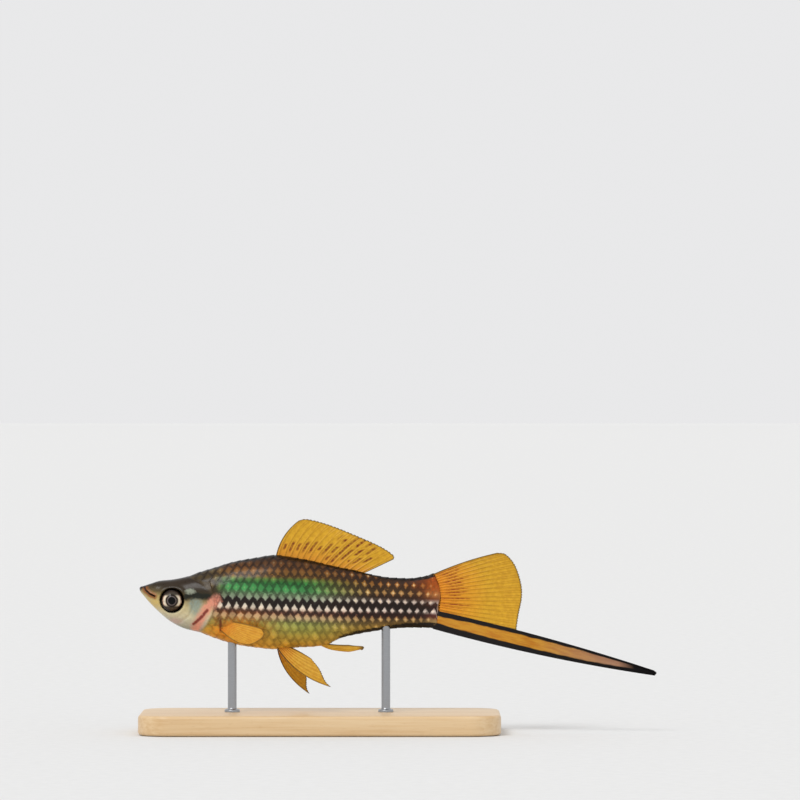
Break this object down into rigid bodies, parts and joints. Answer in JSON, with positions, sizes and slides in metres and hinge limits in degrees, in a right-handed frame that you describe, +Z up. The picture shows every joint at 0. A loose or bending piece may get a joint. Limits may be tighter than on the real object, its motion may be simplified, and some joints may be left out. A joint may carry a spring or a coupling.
{
  "type": "green swordtail fish",
  "caption": "Life-size male green swordtail with a long lower tail sword, held level over a flat wooden base by short steel rods.",
  "frame": {"origin": "the middle of the underside of the model's box: at table height on the base's underside, midway between the jaw tip and the tip of the sword, on the fish's middle plane", "axes": "+Z up, +X from the head towards the tail, +Y to the fish's right side; the picture looks along +Y at the fish's left side"},
  "size_m": [0.1294, 0.042, 0.0532],
  "materials": {
    "flesh": "moist, satin skin with a thin clear film; olive-green flank, cream cheek, golden belly",
    "eye": "wet, clear glossy cornea over a silver iris and a black pupil",
    "fin": "thin golden-yellow membrane between raised rays, moist satin",
    "sword": "golden-yellow rays with black edges, moist satin",
    "base_wood": "pale maple with a satin clear coat",
    "rod_steel": "fine brushed stainless steel"
  },
  "bodies": {
    "root": {"lower_jaw": "flesh", "head": "flesh", "torso": "flesh", "tail_stem": "flesh", "eye_left": "eye", "eye_right": "eye", "dorsal_fin": "fin", "caudal_fin": "fin", "sword": "sword", "gonopodium": "fin", "pelvic_fin_left": "fin", "pelvic_fin_right": "fin", "pectoral_fin_left": "fin", "pectoral_fin_right": "fin", "stand_base": "base_wood", "stand_rod_front": "rod_steel", "stand_rod_rear": "rod_steel"}
  },
  "joints": []
}
